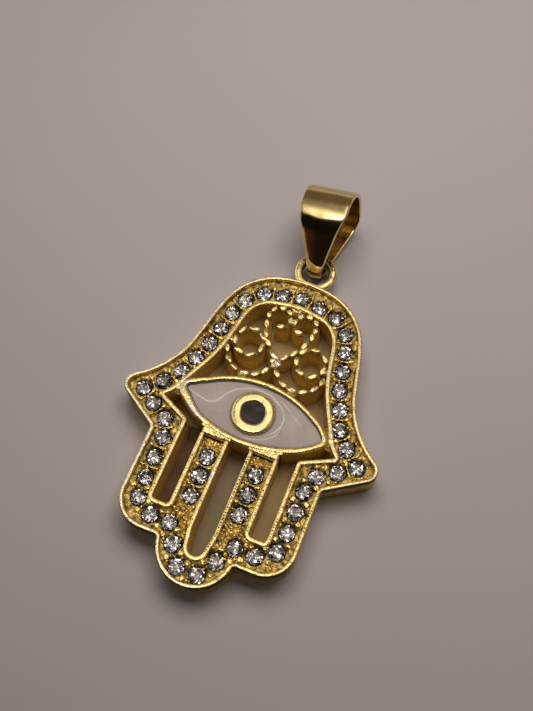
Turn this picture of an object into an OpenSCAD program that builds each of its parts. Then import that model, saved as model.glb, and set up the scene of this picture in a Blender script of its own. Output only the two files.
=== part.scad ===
// Hamsa pendant with a paved border, an enamel eye, beaded scrollwork and a folded bail.
// It lies on its back: X across the hand, +Y towards the bail, +Z up out of the front face.
// All lengths are in millimetres. The outline tables are drawn from the centre of the eye.

/* [Hand] */
// Height of the polished rims over the back face
rim_z = 2.6; // [2.2:0.05:3.2]
// Height of the sunken floor that carries the stones
floor_z = 2.15; // [1.8:0.05:2.15]
// Width of the rim along the outer edge
outer_rim_w = 0.38; // [0.3:0.01:0.45]
// Width of the rims around the openings
inner_rim_w = 0.36; // [0.3:0.01:0.4]

/* [Stones] */
// Diameter of a round stone at its girdle
stone_d = 1.2; // [1.0:0.05:1.25]
// Depth of the drilled seat under each stone
seat_depth = 0.5; // [0.3:0.05:0.7]
// Stones in one half of the border row, counted between the top stone and the bottom pair
row_steps = 20; // [20:1:20]
// Distance between the stones on a finger
finger_pitch = 1.57; // [1.45:0.01:1.65]

/* [Eye] */
// Height of the eye's bezel over the back face
bezel_z = 2.75; // [2.6:0.05:3.0]
// Width of the bezel along the upper lid
upper_lid_w = 0.4; // [0.3:0.05:0.5]
// Width of the bezel along the lower lid
lower_lid_w = 0.5; // [0.3:0.05:0.55]
// Outer radius of the gold iris ring
iris_r = 1.72; // [1.6:0.02:1.8]
// Inner radius of the gold iris ring
pupil_r = 0.95; // [0.8:0.05:1.1]
// Height of the plate under the enamel
plate_z = 1.6; // [1.0:0.1:1.8]
// Gap left around each piece of enamel
enamel_gap = 0.03; // [0.02:0.01:0.06]

/* [Scrollwork] */
// Width of the scroll wires at their top
wire_w = 0.32; // [0.26:0.02:0.4]
// Width of the scroll wires at the back face
wire_base = 0.76; // [0.4:0.02:0.9]
// Height of the scroll wires over the back face
wire_z = 2.4; // [2.0:0.05:2.5]

/* [Loop] */
// Radius of the loop's centre line
loop_r = 1.465; // [1.44:0.005:1.5]
// Thickness of the loop's wire
loop_wire = 0.75; // [0.7:0.01:0.8]
// Height of the loop's centre over the back face
loop_z = 1.3; // [1.2:0.05:1.4]

/* [Bail] */
// Outer radius of the bail's wide fold
fold_r = 2.8; // [2.6:0.05:2.9]
// Outer radius of the bail's narrow end
tail_r = 1.2; // [1.15:0.05:1.25]
// Distance between the centres of the two ends
bail_len = 3.75; // [3.65:0.05:4.1]
// Thickness of the folded strip
strip_t = 0.4; // [0.35:0.05:0.45]
// Angle that the lying bail rises from the hand's plane
bail_rise = 29.4; // [28:0.2:31]
// Angle that the bail leans to the left, slid around the loop
bail_lean = 6; // [0:0.5:8]
// Angle that the bail is rolled about its own length
bail_roll = 10; // [0:0.5:11]
// Slack between the bail's narrow end and the loop's wire
bail_slack = 0.56; // [0.52:0.02:0.6]

/* [Hidden] */
$fn = 64;

// Place of the eye's centre in front of the origin, which is under the middle of the whole piece
eye_y = -3.58;
// Degrees turned by one flat of a rounded corner
arc_step = 6;
// Place of the loop's centre
loop_y = 13.88;

// Right half of the outer edge, clockwise from the top. Columns: x, y, corner radius
outline = [
    [1.0, 12.25, 8.5],     // crown of the arch
    [5.1, 11.4, 5.2],      // shoulder
    [6.3, 7.1, 15],        // side
    [7.45, 1.65, 7.4],     // hollow above the thumb
    [11.2, -1.05, 1.0],    // tip of the thumb
    [6.95, -3.75, 0.4],    // notch under the thumb
    [6.95, -11.1, 2.4],    // outer finger
    [3.0, -11.1, 0.25],    // notch beside the middle lobe
    [2.45, -13.7, 3.0]     // middle lobe
];

// Right half of the palm window and of the slot between the fingers. Columns: x, y, corner radius
window = [
    [0.4, 9.6, 4.6],       // top of the arch
    [3.4, 9.1, 2.3],       // shoulder
    [4.35, 3.9, 12],       // side
    [6.45, -0.5, 3.3],     // hollow beside the eye
    [7.0, -1.0, 0.06],     // point inside the thumb
    [4.5, -2.2, 0.4],      // mouth of the slot
    [4.5, -8.68, 0.25],    // foot of the slot, outer corner
    [3.19, -8.68, 0.25],   // foot of the slot, inner corner
    [3.19, -2.62, 0.3]     // head of the finger
];

// Right half of the middle slot. Columns: x, y, corner radius
middle_slot = [
    [0.81, -2.0, 0.02],    // top, under the lower lid
    [0.81, -9.6, 4],       // start of the taper
    [0.5, -11.4, 0.55]     // rounded foot
];

// Path of the stone row down the right half. Columns: x, y
row_path = [
    [0, 10.65], [3.0, 10.2], [4.65, 8.65], [5.55, 4.25], [6.8, 0.75],
    [8.9, -1.15], [5.9, -3.0], [5.75, -4.0], [5.65, -8.95],
    [4.25, -9.9], [2.7, -9.75], [0.8, -12.6], [0, -12.6]
];

// Stones on each finger: x and y of the uppermost one, and their number
finger_x = 1.95;
finger_top = -4.41;
finger_count = 3;

// Lid curves. Columns: centre y, radius of the opening
upper_lid = [-5.75, 8.1];
lower_lid = [7.7, 9.9];
// Radius that rounds the corners of the eye
corner_r = 0.35;

// Arcs of the scrollwork on the right half. Columns: centre x, centre y, radius, start angle, sweep
scrolls = [
    [1.1, 8.47, 0.92, -15, 205],   // shoulder of the heart
    [0.85, 8.38, 0.6, 180, 120],   // curl inside the heart
    [-2.37, 8.65, 4.4, -55, 49],   // flank of the heart
    [2.63, 5.65, 1.16, 0, 360],    // side ring
    [2.1, 4.95, 2.0, 198, 148]     // cradle under the side ring
];

// Solid blocks that tie the scrolls together. Columns: centre x, centre y, width, depth
ties = [
    [0, 4.6, 0.75, 0.8],           // collar at the heart's foot
    [0, 8.42, 0.7, 0.5],           // collar between the curls
    [2.1, 2.72, 0.7, 0.36],        // seat on the upper lid
    [-2.1, 2.72, 0.7, 0.36],
    [3.98, 5.3, 0.3, 0.5],         // tabs against the window's edge
    [-3.98, 5.3, 0.3, 0.5],
    [4.12, 4.5, 0.4, 0.4],
    [-4.12, 4.5, 0.4, 0.4]
];

// Width of the bail's strip along its length. Columns: distance from the narrow end's centre, width
taper = [[-1.4, 1.15], [-0.9, 1.15], [0.6, 1.85], [2.2, 2.75], [4.4, 4.07], [7.0, 4.07]];

function unit(v) = v / norm(v);
function turned(v, a) = [v.x * cos(a) - v.y * sin(a), v.x * sin(a) + v.y * cos(a)];
function flat(row) = [row.x, row.y];

// Points of one rounded corner q between p and s of a clockwise outline, moved inwards by inset
function corner(p, q, s, r, inset) =
    let (d1 = unit(q - p), d2 = unit(s - q),
         n1 = [d1.y, -d1.x], n2 = [d2.y, -d2.x],
         c = q + inset * (n1 + n2) / (1 + n1 * n2),
         a = atan2(d1.x * d2.y - d1.y * d2.x, d1 * d2),
         rr = max(0.02, a < 0 ? r - inset : r + inset),
         from = c - d1 * rr * tan(abs(a) / 2),
         mid = from + n1 * (a < 0 ? rr : -rr),
         k = max(1, ceil(abs(a) / arc_step)))
    [for (i = [0 : k]) mid + turned(from - mid, a * i / k)];

function rounded(t, inset = 0) =
    let (n = len(t))
    [for (i = [0 : n - 1])
        each corner(flat(t[(i + n - 1) % n]), flat(t[i]), flat(t[(i + 1) % n]), t[i][2], inset)];

// A right half table together with its mirror image
function both(t) = concat(t, [for (i = [len(t) - 1 : -1 : 0]) [-t[i].x, t[i].y, t[i][2]]]);

// Length of a path up to its point k, and the point at a distance along it
function run(path, k) = k == 0 ? 0 : run(path, k - 1) + norm(path[k] - path[k - 1]);
function along(path, s, k = 1) =
    let (d = norm(path[k] - path[k - 1]))
    s <= d || k == len(path) - 1
        ? path[k - 1] + (path[k] - path[k - 1]) * s / d
        : along(path, s - d, k + 1);

row_pitch = run(row_path, len(row_path) - 1) / (row_steps + 0.5);
stone_places = concat(
    [for (i = [0 : row_steps]) along(row_path, i * row_pitch)],
    [for (i = [1 : row_steps]) let (p = along(row_path, i * row_pitch)) [-p.x, p.y]],
    [for (i = [0 : finger_count - 1], side = [-1, 1]) [side * finger_x, finger_top - i * finger_pitch]]
);

module slab(z0, z1) {
    translate([0, 0, z0]) linear_extrude(height = z1 - z0) children();
}

// Almond between the two lids, grown by g above and h below
module almond(g, h) {
    intersection() {
        translate([0, upper_lid[0]]) circle(r = upper_lid[1] + g, $fn = 360);
        translate([0, lower_lid[0]]) circle(r = lower_lid[1] + h, $fn = 360);
    }
}

// Opening of the eye, its two corners cut off round
module eye_opening(shrink = 0) {
    intersection() {
        almond(-shrink, -shrink);
        square([11.4 - 2 * shrink, 8], center = true);
    }
}

// Bar with sloping sides, as it left its mould, bent along one arc of the scroll table
module scroll(row) {
    translate([row[0], row[1], 0]) rotate([0, 0, row[3]])
        rotate_extrude(angle = row[4]) translate([row[2], 0])
            polygon([[-wire_base / 2, 0], [wire_base / 2, 0], [wire_w / 2, wire_z], [-wire_w / 2, wire_z]]);
}

// Points of a teardrop: a small round end at the origin, a large one at distance d
function teardrop(small, large, d) =
    let (a = asin((large - small) / d))
    concat(
        [for (i = [0 : 12]) let (t = 90 + a + (180 - 2 * a) * i / 12) small * [cos(t), sin(t)]],
        [for (i = [0 : 32]) let (t = -90 - a + (180 + 2 * a) * i / 32) [d, 0] + large * [cos(t), sin(t)]]
    );

// Moves from the bail's own axes (X across, Y along, Z out of its front) to where it lies
module lie_bail() {
    translate([0, eye_y + loop_y, loop_z]) rotate([0, 0, bail_lean])
        translate([0, loop_r - bail_slack, 0]) rotate([bail_rise, 0, 0]) rotate([0, -bail_roll, 0])
            children();
}

module hand() {
    color("goldenrod") translate([0, eye_y, 0]) {
        difference() {
            union() {
                difference() {
                    slab(0, rim_z) polygon(rounded(both(outline)));
                    slab(-1, rim_z + 1) polygon(rounded(both(window)));
                    // sunken border between the outer rim and the rims of the openings
                    slab(floor_z, rim_z + 1) difference() {
                        polygon(rounded(both(outline), outer_rim_w));
                        polygon(rounded(both(window), -inner_rim_w));
                        polygon(rounded(both(middle_slot), -inner_rim_w));
                    }
                }
                // boat of the eye
                slab(0, bezel_z) almond(upper_lid_w, lower_lid_w);
                // scrollwork
                for (row = scrolls) {
                    scroll(row);
                    mirror([1, 0, 0]) scroll(row);
                }
                for (t = ties) translate([t[0] - t[2] / 2, t[1] - t[3] / 2, 0.1]) cube([t[2], t[3], wire_z - 0.04]);
            }
            // pocket for the enamel, and the slot between the middle fingers
            slab(plate_z, bezel_z + 1) eye_opening();
            slab(-1, rim_z + 1) intersection() {
                polygon(rounded(both(middle_slot)));
                translate([-2, -12]) square([4, 9.3]);
            }
            // drilled seats of the stones
            for (p = stone_places) translate([p.x, p.y, floor_z - seat_depth])
                cylinder(h = seat_depth + 0.3, r1 = stone_d * 0.16,
                         r2 = stone_d * (0.16 + 0.3 * (seat_depth + 0.3) / seat_depth), $fn = 24);
        }
        // heads of the fingers, joined to the lower lid
        for (side = [-1, 1]) translate([side * 1.85 - 1.0, -2.95, 0]) cube([2.0, 0.6, rim_z]);
        // iris ring on the plate
        translate([0, 0, plate_z - 0.2]) difference() {
            cylinder(h = bezel_z + 0.1 - plate_z + 0.2, r = iris_r);
            translate([0, 0, 0.2]) cylinder(h = bezel_z, r = pupil_r);
        }
        // loop, with a foot on the crown
        translate([0, loop_y, loop_z]) rotate_extrude() translate([loop_r, 0]) circle(d = loop_wire);
        translate([-0.75, 11.95, loop_z - 0.35]) cube([1.5, 0.5, 0.7]);
    }
}

module eye_inlay() {
    color("gainsboro") translate([0, eye_y, plate_z + enamel_gap]) difference() {
        linear_extrude(height = 2.5 - plate_z - enamel_gap) eye_opening(enamel_gap);
        translate([0, 0, -1]) cylinder(h = 4, r = iris_r + enamel_gap);
    }
}

module pupil() {
    color("black") translate([0, eye_y, plate_z + enamel_gap])
        cylinder(h = 2.75 - plate_z - enamel_gap, r = pupil_r - enamel_gap);
}

module bail() {
    color("gold") lie_bail() intersection() {
        rotate([90, 0, 90]) translate([0, 0, -3]) linear_extrude(height = 6) difference() {
            polygon(teardrop(tail_r, fold_r, bail_len));
            polygon(teardrop(tail_r - strip_t, fold_r - strip_t, bail_len));
        }
        translate([0, 0, -4]) linear_extrude(height = 8) polygon(concat(
            [for (row = taper) [row[1] / 2, row[0]]],
            [for (i = [len(taper) - 1 : -1 : 0]) [-taper[i][1] / 2, taper[i][0]]]
        ));
    }
}

hand();
eye_inlay();
pupil();
bail();
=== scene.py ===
import math
import random

import bpy
import numpy as np
from mathutils import Matrix, Vector, noise
from mathutils.geometry import delaunay_2d_cdt


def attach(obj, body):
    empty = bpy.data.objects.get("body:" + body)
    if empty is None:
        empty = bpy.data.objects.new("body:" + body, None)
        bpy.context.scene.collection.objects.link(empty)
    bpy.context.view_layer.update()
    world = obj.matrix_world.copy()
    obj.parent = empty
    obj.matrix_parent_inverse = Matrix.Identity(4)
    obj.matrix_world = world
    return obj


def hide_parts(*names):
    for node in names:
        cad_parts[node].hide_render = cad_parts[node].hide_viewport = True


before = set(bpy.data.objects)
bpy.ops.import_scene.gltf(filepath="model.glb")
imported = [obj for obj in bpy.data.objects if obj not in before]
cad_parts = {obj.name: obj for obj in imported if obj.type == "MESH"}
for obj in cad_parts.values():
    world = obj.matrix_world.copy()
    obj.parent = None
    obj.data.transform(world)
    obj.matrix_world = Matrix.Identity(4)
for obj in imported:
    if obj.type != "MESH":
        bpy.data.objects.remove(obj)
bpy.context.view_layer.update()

# All lengths below are millimetres, measured from the centre of the eye, with z up from the back.
EYE_Y = -3.58
MM = 0.001
rnd = random.Random(7)

# Columns: x, y, corner radius. Right halves, clockwise from the top.
OUTLINE = [(1.0, 12.25, 8.5), (5.1, 11.4, 5.2), (6.3, 7.1, 15), (7.45, 1.65, 7.4), (11.2, -1.05, 1.0),
           (6.95, -3.75, 0.4), (6.95, -11.1, 2.4), (3.0, -11.1, 0.25), (2.45, -13.7, 3.0)]
WINDOW = [(0.4, 9.6, 4.6), (3.4, 9.1, 2.3), (4.35, 3.9, 12), (6.45, -0.5, 3.3), (7.0, -1.0, 0.06),
          (4.5, -2.2, 0.4), (4.5, -8.68, 0.25), (3.19, -8.68, 0.25), (3.19, -2.62, 0.3)]
SLOT = [(0.81, -2.5, 0.02), (0.81, -9.6, 4), (0.5, -11.4, 0.55)]
ROW = [(0, 10.65), (3.0, 10.2), (4.65, 8.65), (5.55, 4.25), (6.8, 0.75), (8.9, -1.15), (5.9, -3.0),
       (5.75, -4.0), (5.65, -8.95), (4.25, -9.9), (2.7, -9.75), (0.8, -12.6), (0, -12.6)]
FINGER = [(1.95, -4.41), (1.95, -5.98), (1.95, -7.55)]
FLOOR_Z, RIM_Z, GIRDLE_Z = 2.13, 2.6, 2.24
STONE_R = 0.6
UPPER, LOWER = (-5.75, 8.1), (7.7, 9.9)      # lids: centre y, radius of the opening
LOOP_Y, LOOP_Z, LOOP_R, LOOP_WIRE = 13.88, 1.3, 1.465, 0.375


# ---------------------------------------------------------------- shapes
def smooth(a, b, x):
    t = np.clip((x - a) / (b - a), 0, 1)
    return t * t * (3 - 2 * t)


def both(half):
    return list(half) + [(-x, y, r) for x, y, r in reversed(half)]


def corner_points(p, q, s, r, inset, k):
    d1, d2 = (q - p) / np.linalg.norm(q - p), (s - q) / np.linalg.norm(s - q)
    n1, n2 = np.array([d1[1], -d1[0]]), np.array([d2[1], -d2[0]])
    c = q + inset * (n1 + n2) / (1 + n1 @ n2)
    a = math.atan2(d1[0] * d2[1] - d1[1] * d2[0], d1 @ d2)
    rr = max(0.02, r - inset if a < 0 else r + inset)
    start = c - d1 * rr * math.tan(abs(a) / 2)
    mid = start + n1 * (rr if a < 0 else -rr)
    k = k or max(3, math.ceil(abs(math.degrees(a)) / 5), math.ceil(r * abs(a) / 0.2))
    out = []
    for i in range(k + 1):
        t = a * i / k
        v = start - mid
        out.append(mid + [v[0] * math.cos(t) - v[1] * math.sin(t), v[0] * math.sin(t) + v[1] * math.cos(t)])
    return out


def contour(table, inset=0.0, first=0, count=None):
    """Points of a rounded clockwise outline moved inwards by inset. The number of points doesn't depend on inset."""
    n = len(table)
    pts = [np.array(t[:2], float) for t in table]
    arcs, plain = [], []
    for i in range(n):
        args = pts[(i - 1) % n], pts[i], pts[(i + 1) % n], table[i][2]
        arcs.append(corner_points(*args, inset, None))
        plain.append(corner_points(*args, 0.0, None))
    order = [(first + i) % n for i in range(count or n)]
    out = []
    for j, i in enumerate(order):
        out += arcs[i]
        if count and j == len(order) - 1:
            break
        nxt = (i + 1) % n
        m = max(1, math.ceil(np.linalg.norm(plain[nxt][0] - plain[i][-1]) / 0.2))
        for t in range(1, m):
            out.append(arcs[i][-1] + (arcs[nxt][0] - arcs[i][-1]) * t / m)
    return np.array(out)


def almond(t):
    """Ring of the eye, clockwise. t is 0 at the opening and 1 at the outer edge of the bezel."""
    r1, r2, tip = UPPER[1] + 0.4 * t, LOWER[1] + 0.5 * t, 0.38 + 0.32 * t
    a, b = r1 - tip, r2 - tip
    y = (a * a - b * b - UPPER[0] ** 2 + LOWER[0] ** 2) / (2 * (LOWER[0] - UPPER[0]))
    x = math.sqrt(a * a - (y - UPPER[0]) ** 2)
    up = math.atan2(y - UPPER[0], x)
    lo = math.atan2(y - LOWER[0], x)
    out = [(r1 * math.cos(g), UPPER[0] + r1 * math.sin(g)) for g in np.linspace(math.pi - up, up, 90)]
    out += [(x + tip * math.cos(g), y + tip * math.sin(g)) for g in np.linspace(up, lo, 14)[1:-1]]
    out += [(r2 * math.cos(g), LOWER[0] + r2 * math.sin(g)) for g in np.linspace(lo, -math.pi - lo, 90)]
    out += [(-x - tip * math.cos(g), y + tip * math.sin(g)) for g in np.linspace(lo, up, 14)[1:-1]]
    out = np.array(out)
    # neither tip is true: the left one is drawn upwards, the right one is a little blunt
    left, low = -out[:, 0], np.concatenate([np.zeros(96), np.ones(96), np.linspace(1, 0, 12)])
    lift = (1 - low) * (0.14 * smooth(4.2, 5.0, left) + 0.25 * smooth(5.0, 5.75, left)) + low * (0.50 - 0.30 * t) * smooth(3.7, 5.4, left)
    out[:, 1] += lift + 0.08 * smooth(4.2, 5.4, out[:, 0])
    out[:, 0] += 0.10 * smooth(4.9, 5.8, left) - 0.13 * smooth(4.9, 5.8, out[:, 0])
    return out


def inside(poly, p):
    """Which points p lie in the polygon."""
    x, y = p[:, 0], p[:, 1]
    hit = np.zeros(len(p), bool)
    q = np.roll(poly, 1, 0)
    for (x1, y1), (x2, y2) in zip(poly, q):
        if y1 != y2:
            c = ((y1 > y) != (y2 > y)) & (x < (x2 - x1) * (y - y1) / (y2 - y1) + x1)
            hit ^= c
    return hit


def near(path, p):
    """Distance of each point p to a polyline."""
    d = np.full(len(p), 1e9)
    for a, b in zip(path[:-1], path[1:]):
        a, b = np.array(a, float), np.array(b, float)
        t = np.clip((p - a) @ (b - a) / max((b - a) @ (b - a), 1e-12), 0, 1)
        d = np.minimum(d, np.linalg.norm(p - a - t[:, None] * (b - a), axis=1))
    return d


def waver(p, scale, amount, seed=0.0):
    """Slow unevenness of a hand-finished casting, as one offset for each point."""
    return np.array([noise.noise(Vector((x * scale, y * scale, seed))) for x, y in p]) * amount


class Shape:
    """Collects parts of one piece. One attribute darkens a spot, as grime in some places and as painted shade in
    others, and pale whitens it.
    """

    def __init__(self):
        self.v, self.f, self.dirt, self.pale, self.mat, self.n = [], [], [], [], [], 0

    def add(self, verts, faces, dirt=0.0, pale=0.0, mat=0):
        verts = np.asarray(verts, float).reshape(-1, 3)
        self.v.append(verts)
        self.f += [tuple(self.n + i for i in f) for f in faces]
        self.mat += [mat] * len(faces)
        self.dirt.append(np.broadcast_to(np.asarray(dirt, float), (len(verts),)))
        self.pale.append(np.broadcast_to(np.asarray(pale, float), (len(verts),)))
        self.n += len(verts)

    def sweep(self, rings, closed=True, flip=False, dirt=0.0, pale=0.0, mat=0):
        """Joins rings, an array of rows by points by xyz, row to row."""
        rings = np.asarray(rings, float)
        m, n = rings.shape[:2]
        faces = []
        for j in range(m - 1):
            for i in range(n if closed else n - 1):
                k = (i + 1) % n
                f = (j * n + i, j * n + k, (j + 1) * n + k, (j + 1) * n + i)
                faces.append(f[::-1] if flip else f)
        if np.ndim(dirt) == 1 and len(dirt) == m:
            dirt = np.repeat(dirt, n)
        if np.ndim(pale) == 2:
            pale = np.asarray(pale).ravel()
        self.add(rings.reshape(-1, 3), faces, dirt, pale, mat)

    def blob(self, centre, axes, rotation=None, rings=6, around=12, dirt=0.0, mat=0, lumpy=0.0, square=1.0, pale=0.0):
        """Ellipsoid with a little irregularity. A square under 1 flattens its top and fills its corners."""
        v, seed = [], rnd.uniform(0, 100)
        for j in range(rings + 1):
            for i in range(around):
                th, ph = math.pi * min(max(j / rings, 0.008), 0.992), 2 * math.pi * i / around
                h, c = math.sin(th) ** square, math.copysign(abs(math.cos(th)) ** square, math.cos(th))
                d = np.array([h * math.cos(ph), h * math.sin(ph), c])
                if lumpy:
                    d = d * (1 + lumpy * noise.noise(Vector(d * 1.6) + Vector((seed, 0, 0))))
                v.append(d * axes)
        v = np.array(v)
        if rotation is not None:
            v = v @ np.array(rotation).T
        f = []
        for j in range(rings):
            for i in range(around):
                k = (i + 1) % around
                f.append((j * around + i, (j + 1) * around + i, (j + 1) * around + k, j * around + k))
        f += [tuple(range(around)), tuple(rings * around + i for i in reversed(range(around)))]
        self.add(v + centre, f, dirt, pale, mat)

    def make(self, name, mats, body, angle=40, flat=False):
        v = np.concatenate(self.v)
        me = bpy.data.meshes.new(name)
        me.from_pydata(((v + [0, EYE_Y, 0]) * MM).tolist(), [], self.f)
        for i, m in enumerate(mats):
            me.materials.append(m)
        me.polygons.foreach_set("material_index", self.mat)
        for key, data in (("dirt", self.dirt), ("pale", self.pale)):
            at = me.attributes.new(key, "FLOAT", "POINT")
            at.data.foreach_set("value", np.concatenate(data).astype(np.float32))
        me.validate()
        if not flat:
            me.shade_smooth()
            me.set_sharp_from_angle(angle=math.radians(angle))
        o = bpy.data.objects.new(name, me)
        bpy.context.scene.collection.objects.link(o)
        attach(o, body)
        return o


def turn_z(a):
    return np.array(Matrix.Rotation(a, 3, "Z"))


# ---------------------------------------------------------------- materials
def new_mat(name):
    m = bpy.data.materials.new(name)
    m.use_nodes = True
    nt = m.node_tree
    b = nt.nodes["Principled BSDF"]
    return m, nt, b


def link(nt, a, b):
    nt.links.new(a, b)


def coords(nt):
    tc = nt.nodes.new("ShaderNodeTexCoord")
    mp = nt.nodes.new("ShaderNodeMapping")
    mp.inputs["Scale"].default_value = (1000, 1000, 1000)
    link(nt, tc.outputs["Object"], mp.inputs["Vector"])
    return mp.outputs["Vector"]


def tex_noise(nt, vec, scale, detail=3.0, rough=0.55):
    n = nt.nodes.new("ShaderNodeTexNoise")
    n.inputs["Scale"].default_value = scale
    n.inputs["Detail"].default_value = detail
    n.inputs["Roughness"].default_value = rough
    link(nt, vec, n.inputs["Vector"])
    return n.outputs["Fac"]


def ramp(nt, fac, stops):
    r = nt.nodes.new("ShaderNodeValToRGB")
    e = r.color_ramp.elements
    while len(e) < len(stops):
        e.new(0.5)
    for i, (pos, col) in enumerate(stops):
        e[i].position = pos
        e[i].color = col if len(col) == 4 else (*col, 1)
    link(nt, fac, r.inputs["Fac"])
    return r.outputs["Color"]


def mix(nt, fac, a, b, kind="MIX"):
    n = nt.nodes.new("ShaderNodeMix")
    n.data_type, n.blend_type = "RGBA", kind
    for sock, val in ((n.inputs[0], fac), (n.inputs[6], a), (n.inputs[7], b)):
        if hasattr(val, "links"):
            link(nt, val, sock)
        else:
            sock.default_value = val if not isinstance(val, tuple) else (*val[:3], 1)
    return n.outputs[2]


def math_node(nt, op, a, b=None, c=None):
    n = nt.nodes.new("ShaderNodeMath")
    n.operation = op
    for i, val in enumerate((a, b, c)):
        if val is None:
            continue
        if hasattr(val, "links"):
            link(nt, val, n.inputs[i])
        else:
            n.inputs[i].default_value = val
    return n.outputs[0]


def attribute(nt, name):
    a = nt.nodes.new("ShaderNodeAttribute")
    a.attribute_name = name
    return a.outputs["Fac"]


def bump(nt, height, strength, distance, normal=None):
    b = nt.nodes.new("ShaderNodeBump")
    b.inputs["Strength"].default_value = strength
    b.inputs["Distance"].default_value = distance * MM
    link(nt, height, b.inputs["Height"])
    if normal is not None:
        link(nt, normal, b.inputs["Normal"])
    return b.outputs["Normal"]


def gold(name, base, dark, rough, rough_var, grain, grain_h, wave=0.0, dirt_rough=0.45, metal=1.0, blot=0.55, fade=0.75, speck=0.0):
    """Gold plate. base and dark are its colours clean and where grime and painted shade lie, grain is the bump's scale
    per mm, grain_h its height in mm, blot how much the grime varies from spot to spot, fade how far grime and painted
    shade dull the metal, speck how dark its fine pores are."""
    m, nt, b = new_mat(name)
    p = coords(nt)
    if fade:
        b.inputs["Specular Tint"].default_value = (1.0, 0.78, 0.45, 1)
    big = tex_noise(nt, p, 0.9, 4.0)
    mid = tex_noise(nt, p, 4.5, 4.0)
    fine = tex_noise(nt, p, grain, 3.0, 0.6)
    # the darkening: noise grime blotches on top of the attribute's grime and painted shade
    dirt = math_node(nt, "MULTIPLY_ADD", math_node(nt, "SUBTRACT", mid, 0.5), blot, attribute(nt, "dirt"))
    if speck:
        pores = ramp(nt, tex_noise(nt, p, 7.5, 1.0), [(0.30, (speck,) * 3), (0.38, (0.0,) * 3)])
        sep = nt.nodes.new("ShaderNodeSeparateXYZ")
        link(nt, p, sep.inputs[0])
        low = nt.nodes.new("ShaderNodeMapRange")        # mostly on the fingers
        low.inputs["From Min"].default_value, low.inputs["From Max"].default_value = -3.0, -7.0
        low.inputs["To Min"].default_value, low.inputs["To Max"].default_value = 0.25, 1.0
        link(nt, sep.outputs[1], low.inputs["Value"])
        pores = math_node(nt, "MULTIPLY", pores, low.outputs["Result"])
        dirt = math_node(nt, "ADD", math_node(nt, "MAXIMUM", dirt, 0.0), pores)
    dirt = math_node(nt, "MINIMUM", math_node(nt, "MAXIMUM", dirt, 0.0), 1.0)
    lighter = tuple(min(1.0, c * 1.06) for c in base)
    duller = tuple(c * 0.86 for c in base)
    col = ramp(nt, big, [(0.3, duller), (0.5, base), (0.72, lighter)])
    # pale whitens the metal: on the rims and the bezel this is a painted sheen
    col = mix(nt, attribute(nt, "pale"), col, (0.95, 0.91, 0.90))
    col = mix(nt, dirt, col, dark)
    link(nt, col, b.inputs["Base Color"])
    link(nt, math_node(nt, "MULTIPLY_ADD", dirt, -fade * metal, metal), b.inputs["Metallic"])
    r = math_node(nt, "MULTIPLY_ADD", mid, rough_var, rough - rough_var / 2)
    r = math_node(nt, "MULTIPLY_ADD", dirt, dirt_rough, r)
    link(nt, math_node(nt, "MAXIMUM", r, 0.03), b.inputs["Roughness"])
    nrm = bump(nt, fine, 1.0, grain_h)
    if wave:
        nrm = bump(nt, tex_noise(nt, p, 1.3, 2.0), 1.0, wave, nrm)
    link(nt, nrm, b.inputs["Normal"])
    return m


GOLD = (0.98, 0.785, 0.375)
# dark colour for grime and for painted shade
GRIME_SHADE = (0.040, 0.025, 0.009)
RIM = gold("rim_gold", GOLD, GRIME_SHADE, 0.22, 0.18, 5.5, 0.036, wave=0.05, blot=1.0, speck=0.55)
# painted shade: the walls inside the openings get a darker, deeper and partly matt copy of the gold
WALL = gold("wall_gold", (0.88, 0.62, 0.20), (0.07, 0.040, 0.014), 0.40, 0.18, 6.0, 0.016, metal=0.35, blot=1.0)
FLOOR = gold("floor_gold", (0.82, 0.59, 0.20), (0.034, 0.021, 0.007), 0.30, 0.2, 9.0, 0.035, metal=0.85, blot=1.5)
GRAIN = gold("grain_gold", (0.96, 0.76, 0.30), GRIME_SHADE, 0.20, 0.14, 6.0, 0.020, blot=0.9)
WIRE = gold("wire_gold", (0.98, 0.82, 0.42), GRIME_SHADE, 0.22, 0.12, 6.0, 0.012)
IRIS = gold("iris_gold", (0.90, 0.78, 0.40), (0.13, 0.062, 0.014), 0.20, 0.10, 5.0, 0.012, wave=0.03)
BACK = gold("back_gold", (0.82, 0.63, 0.28), GRIME_SHADE, 0.36, 0.14, 8.0, 0.010, wave=0.02)
# the bail's dark colours take its painted reflections and painted shade
POLISH = gold("polished_gold", (0.90, 0.74, 0.40), (0.22, 0.13, 0.035), 0.07, 0.05, 4.0, 0.0025, wave=0.009, dirt_rough=0.3, blot=0.2, fade=0.0)
INNER = gold("inner_gold", (0.90, 0.70, 0.28), (0.14, 0.075, 0.02), 0.16, 0.10, 3.0, 0.006, wave=0.03, dirt_rough=0.06, blot=0.3, fade=0.0)
LOOPM = gold("loop_gold", (0.96, 0.80, 0.42), GRIME_SHADE, 0.14, 0.14, 4.0, 0.016, wave=0.07)


# the casting pits are real, their darkness is painted shade on small flat disks
def pit_mat():
    m, nt, b = new_mat("pit_dark")
    p = coords(nt)
    link(nt, ramp(nt, tex_noise(nt, p, 6.0), [(0.3, (0.05, 0.03, 0.012)), (0.7, (0.16, 0.10, 0.035))]), b.inputs["Base Color"])
    b.inputs["Metallic"].default_value = 0.6
    b.inputs["Roughness"].default_value = 0.6
    return m


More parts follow.
